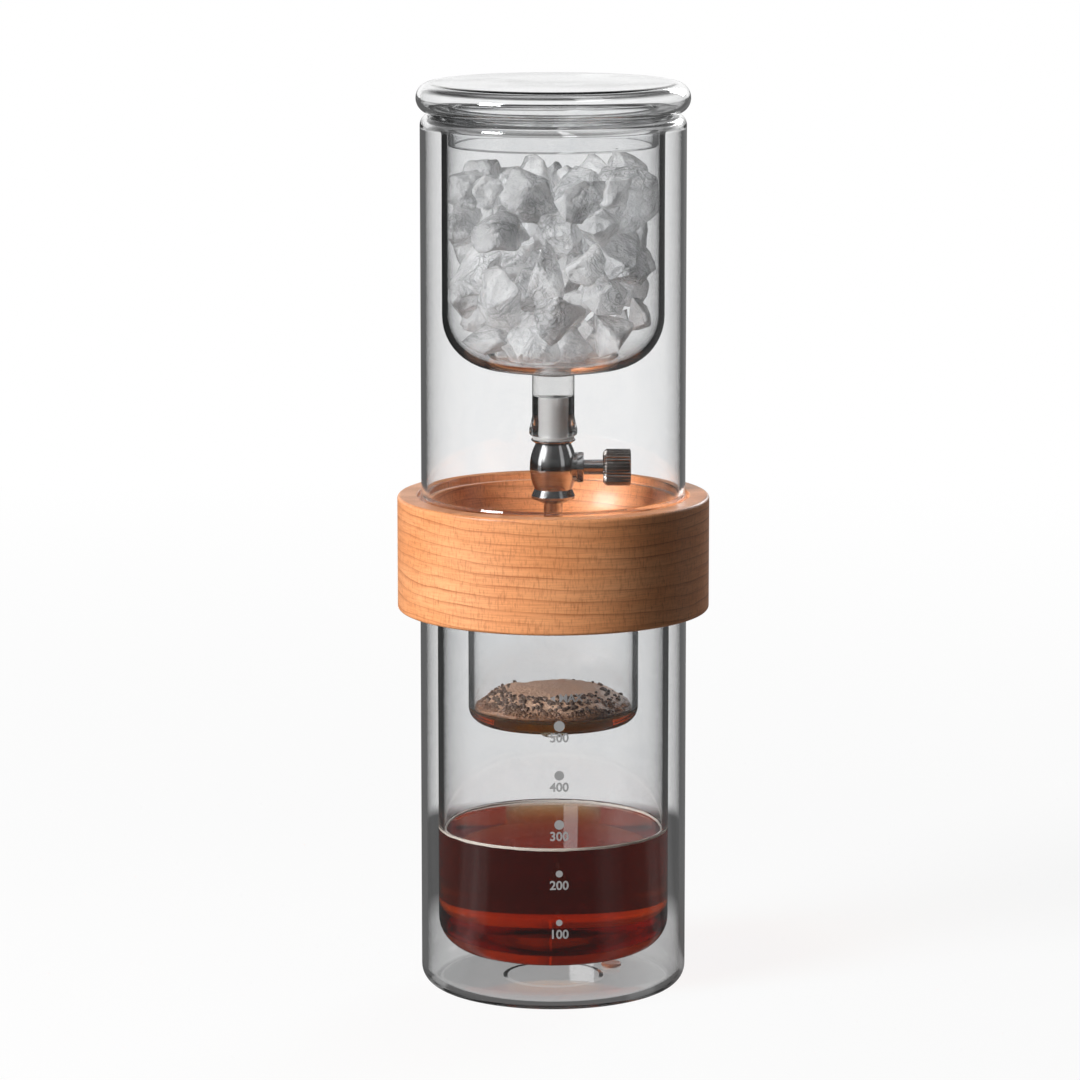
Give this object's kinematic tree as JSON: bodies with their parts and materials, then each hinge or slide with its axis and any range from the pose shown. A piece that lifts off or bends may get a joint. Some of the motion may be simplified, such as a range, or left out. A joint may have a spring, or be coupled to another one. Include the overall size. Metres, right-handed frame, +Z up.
{
  "type": "cold drip coffee tower",
  "caption": "Free-standing cold drip coffee tower: double-wall glass ice chamber with drip valve over a wooden collar, brew cup and double-wall glass carafe.",
  "frame": {"origin": "centre of the carafe's base, on the surface that the tower stands on", "axes": "+Z up along the tower's axis; +X the way the valve's knob points; the measuring marks face -Y"},
  "size_m": [0.117, 0.117, 0.3419],
  "materials": {
    "carafe_glass": "clear, fire-polished",
    "chamber_glass": "clear, fire-polished",
    "cup_glass": "clear, fire-polished",
    "lid_glass": "clear, fire-polished",
    "collar_wood": "turned, clear lacquer",
    "vent_silicone": "translucent, matt",
    "gasket_silicone": "translucent, matt",
    "sleeve_silicone": "translucent, matt",
    "screen_steel": "bright",
    "valve_chrome": "polished",
    "valve_brass": "bright",
    "packing_polymer": "white, waxy",
    "knob_metal": "knurled, bright"
  },
  "bodies": {
    "carafe": {"carafe": "carafe_glass", "carafe_vent_plug": "vent_silicone"},
    "collar": {"wood_collar": "collar_wood"},
    "cup": {"brew_cup": "cup_glass", "filter_gasket": "gasket_silicone", "filter_screen": "screen_steel"},
    "chamber": {"ice_chamber": "chamber_glass", "outlet_sleeve": "sleeve_silicone", "valve_body": "valve_chrome", "valve_spout": "valve_chrome", "valve_seat": "packing_polymer", "stem_packing": "packing_polymer", "packing_follower": "valve_brass", "gland_nut": "valve_chrome"},
    "lid": {"lid": "lid_glass"},
    "needle": {"valve_needle": "screen_steel"},
    "knob": {"valve_stem": "valve_chrome", "valve_knob": "knob_metal", "knob_screw": "screen_steel"}
  },
  "joints": [
    {"name": "collar_lift", "type": "slide", "parent": "carafe", "child": "collar", "axis": [0, 0, 1], "range_m": [0, 0.08]},
    {"name": "cup_lift", "type": "slide", "parent": "collar", "child": "cup", "axis": [0, 0, 1], "range_m": [0, 0.024]},
    {"name": "chamber_lift", "type": "slide", "parent": "collar", "child": "chamber", "axis": [0, 0, 1], "range_m": [0, 0.08]},
    {"name": "lid_lift", "type": "slide", "parent": "chamber", "child": "lid", "axis": [0, 0, 1], "range_m": [0, 0.04]},
    {"name": "needle_travel", "type": "slide", "parent": "chamber", "child": "needle", "axis": [1, 0, 0], "range_m": [-0.00038, 0.00112]},
    {"name": "knob_turn", "type": "hinge", "parent": "needle", "child": "knob", "pos_m": [0, 0, 0.1978], "axis": [1, 0, 0], "range_deg": [-180, 540]}
  ],
  "couplings": [
    {"joint": "needle_travel", "follows": "knob_turn", "m_per_rad": 0.00011937}
  ]
}
